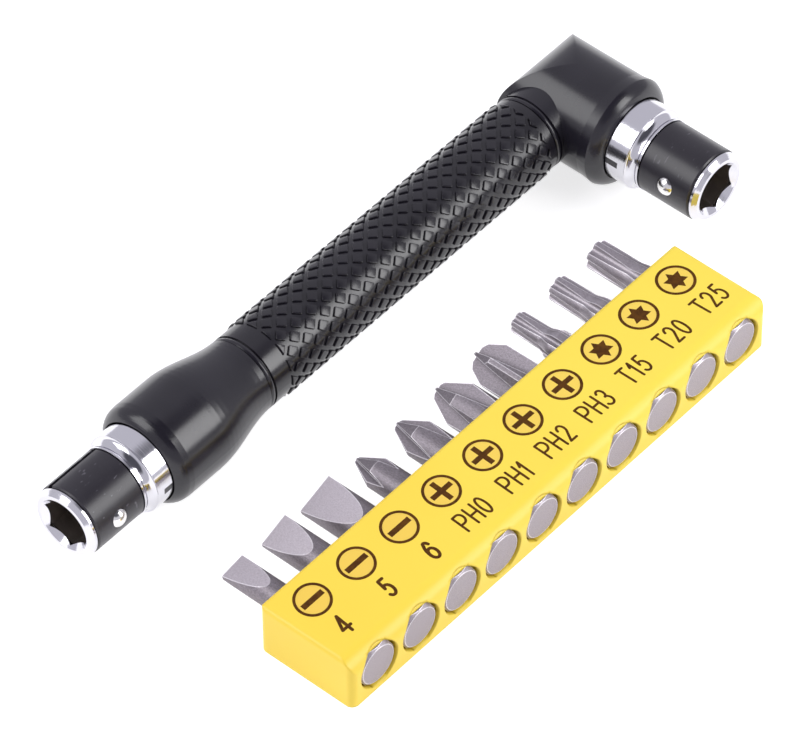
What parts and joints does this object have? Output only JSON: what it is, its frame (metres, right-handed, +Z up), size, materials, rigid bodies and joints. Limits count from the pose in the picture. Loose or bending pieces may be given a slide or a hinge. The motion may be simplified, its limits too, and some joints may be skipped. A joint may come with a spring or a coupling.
{
  "type": "offset screwdriver set",
  "caption": "L-shaped hand driver with a ball-detent hex bit socket at each end and a textured grip, beside a rack of slotted, Phillips and star insert bits.",
  "frame": {"origin": "middle of the set's footprint, on the surface that it lies on", "axes": "+X along the handle toward the head, +Y from the rack toward the handle, +Z up"},
  "size_m": [0.1094, 0.0518, 0.0162],
  "materials": {
    "core_steel": "plain",
    "housing_black": "satin",
    "grip_black": "textured",
    "socket_chrome": "polished",
    "clip_black": "blackened",
    "ball_steel": "polished",
    "rack_yellow": "smooth",
    "bit_steel": "sand-blasted"
  },
  "bodies": {
    "driver": {"core_bar": "core_steel", "head_housing": "housing_black", "grip_sleeve": "grip_black", "end_housing": "housing_black", "head_socket": "socket_chrome", "end_socket": "socket_chrome", "head_clip": "clip_black", "end_clip": "clip_black"},
    "head_detent": {"head_ball": "ball_steel"},
    "end_detent": {"end_ball": "ball_steel"},
    "rack": {"bit_rack": "rack_yellow"},
    "slotted_bit_4": {"slotted_bit_4": "bit_steel"},
    "slotted_bit_5": {"slotted_bit_5": "bit_steel"},
    "slotted_bit_6": {"slotted_bit_6": "bit_steel"},
    "phillips_bit_0": {"phillips_bit_0": "bit_steel"},
    "phillips_bit_1": {"phillips_bit_1": "bit_steel"},
    "phillips_bit_2": {"phillips_bit_2": "bit_steel"},
    "phillips_bit_3": {"phillips_bit_3": "bit_steel"},
    "star_bit_15": {"star_bit_15": "bit_steel"},
    "star_bit_20": {"star_bit_20": "bit_steel"},
    "star_bit_25": {"star_bit_25": "bit_steel"}
  },
  "joints": [
    {"name": "head_ball_press", "type": "slide", "parent": "driver", "child": "head_detent", "axis": [-0.9816, 0, 0.1908], "range_m": [0, 0.0005], "stiffness_N_per_m": 2000, "deforming": ["head_clip"]},
    {"name": "end_ball_press", "type": "slide", "parent": "driver", "child": "end_detent", "axis": [0, -0.9903, 0.1392], "range_m": [0, 0.0005], "stiffness_N_per_m": 2000, "deforming": ["end_clip"]},
    {"name": "rack_lift", "type": "slide", "parent": "driver", "child": "rack", "axis": [0, 0, 1], "range_m": [0, 0.03]},
    {"name": "slotted_bit_4_slide", "type": "slide", "parent": "rack", "child": "slotted_bit_4", "axis": [0, -1, 0], "range_m": [0, 0.025]},
    {"name": "slotted_bit_5_slide", "type": "slide", "parent": "rack", "child": "slotted_bit_5", "axis": [0, -1, 0], "range_m": [0, 0.025]},
    {"name": "slotted_bit_6_slide", "type": "slide", "parent": "rack", "child": "slotted_bit_6", "axis": [0, -1, 0], "range_m": [0, 0.025]},
    {"name": "phillips_bit_0_slide", "type": "slide", "parent": "rack", "child": "phillips_bit_0", "axis": [0, -1, 0], "range_m": [0, 0.025]},
    {"name": "phillips_bit_1_slide", "type": "slide", "parent": "rack", "child": "phillips_bit_1", "axis": [0, -1, 0], "range_m": [0, 0.025]},
    {"name": "phillips_bit_2_slide", "type": "slide", "parent": "rack", "child": "phillips_bit_2", "axis": [0, -1, 0], "range_m": [0, 0.025]},
    {"name": "phillips_bit_3_slide", "type": "slide", "parent": "rack", "child": "phillips_bit_3", "axis": [0, -1, 0], "range_m": [0, 0.025]},
    {"name": "star_bit_15_slide", "type": "slide", "parent": "rack", "child": "star_bit_15", "axis": [0, -1, 0], "range_m": [0, 0.025]},
    {"name": "star_bit_20_slide", "type": "slide", "parent": "rack", "child": "star_bit_20", "axis": [0, -1, 0], "range_m": [0, 0.025]},
    {"name": "star_bit_25_slide", "type": "slide", "parent": "rack", "child": "star_bit_25", "axis": [0, -1, 0], "range_m": [0, 0.025]}
  ]
}
